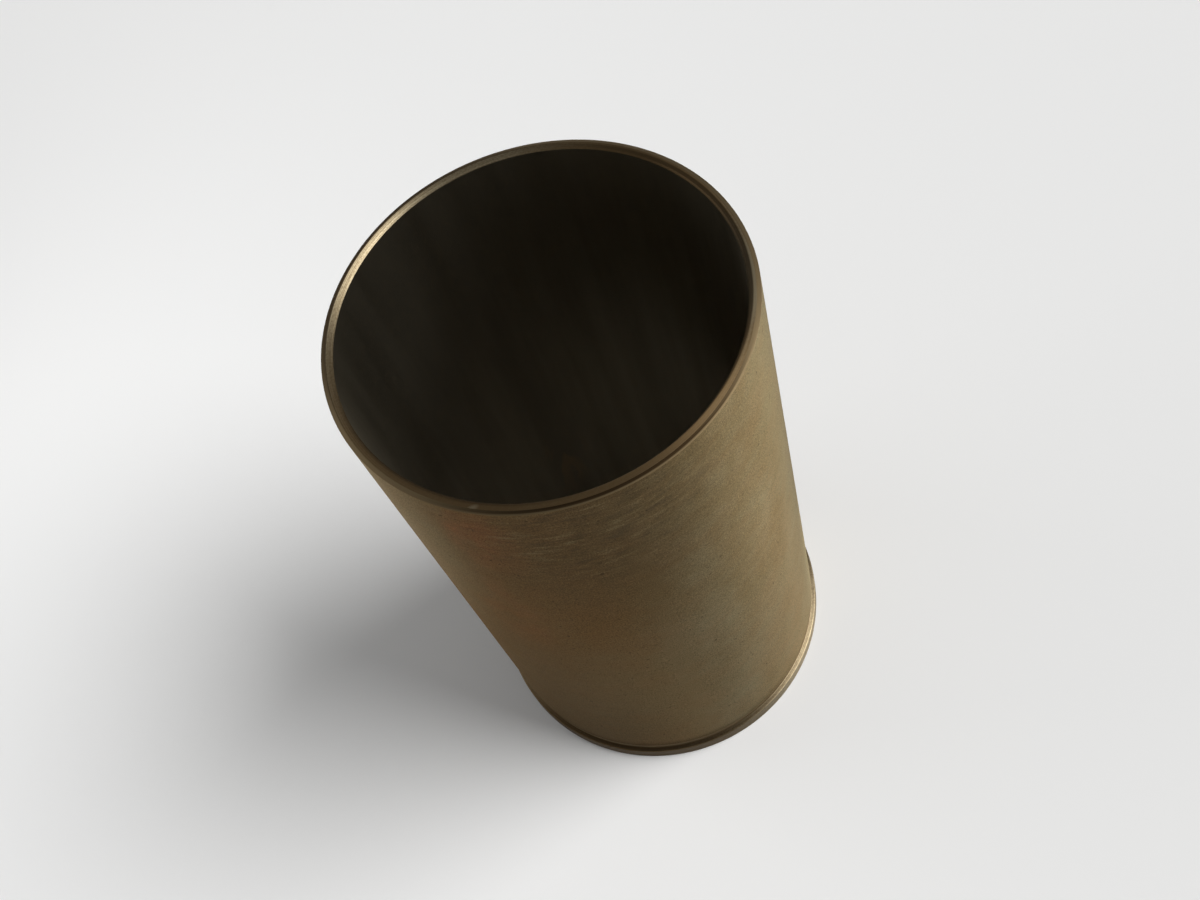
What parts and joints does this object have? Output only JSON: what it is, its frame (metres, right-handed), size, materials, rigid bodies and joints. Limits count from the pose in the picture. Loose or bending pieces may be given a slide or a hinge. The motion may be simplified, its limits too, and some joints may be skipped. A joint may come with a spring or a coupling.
{
  "type": "cylinder liner",
  "caption": "Thin-walled dry cylinder liner with a narrow hanging flange, for pressing into an engine block as the bore a piston runs in.",
  "frame": {"origin": "centre of the flange's end face, on the axis of the bore; the liner stands on this face", "axes": "+Z along the bore's axis, from the flange end to the skirt end; X and Y are free, because the liner is a turned part"},
  "size_m": [0.1084, 0.1084, 0.179],
  "materials": {
    "liner_iron": "ground outside and honed bore, satin, warm brown grey"
  },
  "bodies": {
    "root": {"cylinder_liner": "liner_iron"}
  },
  "joints": []
}
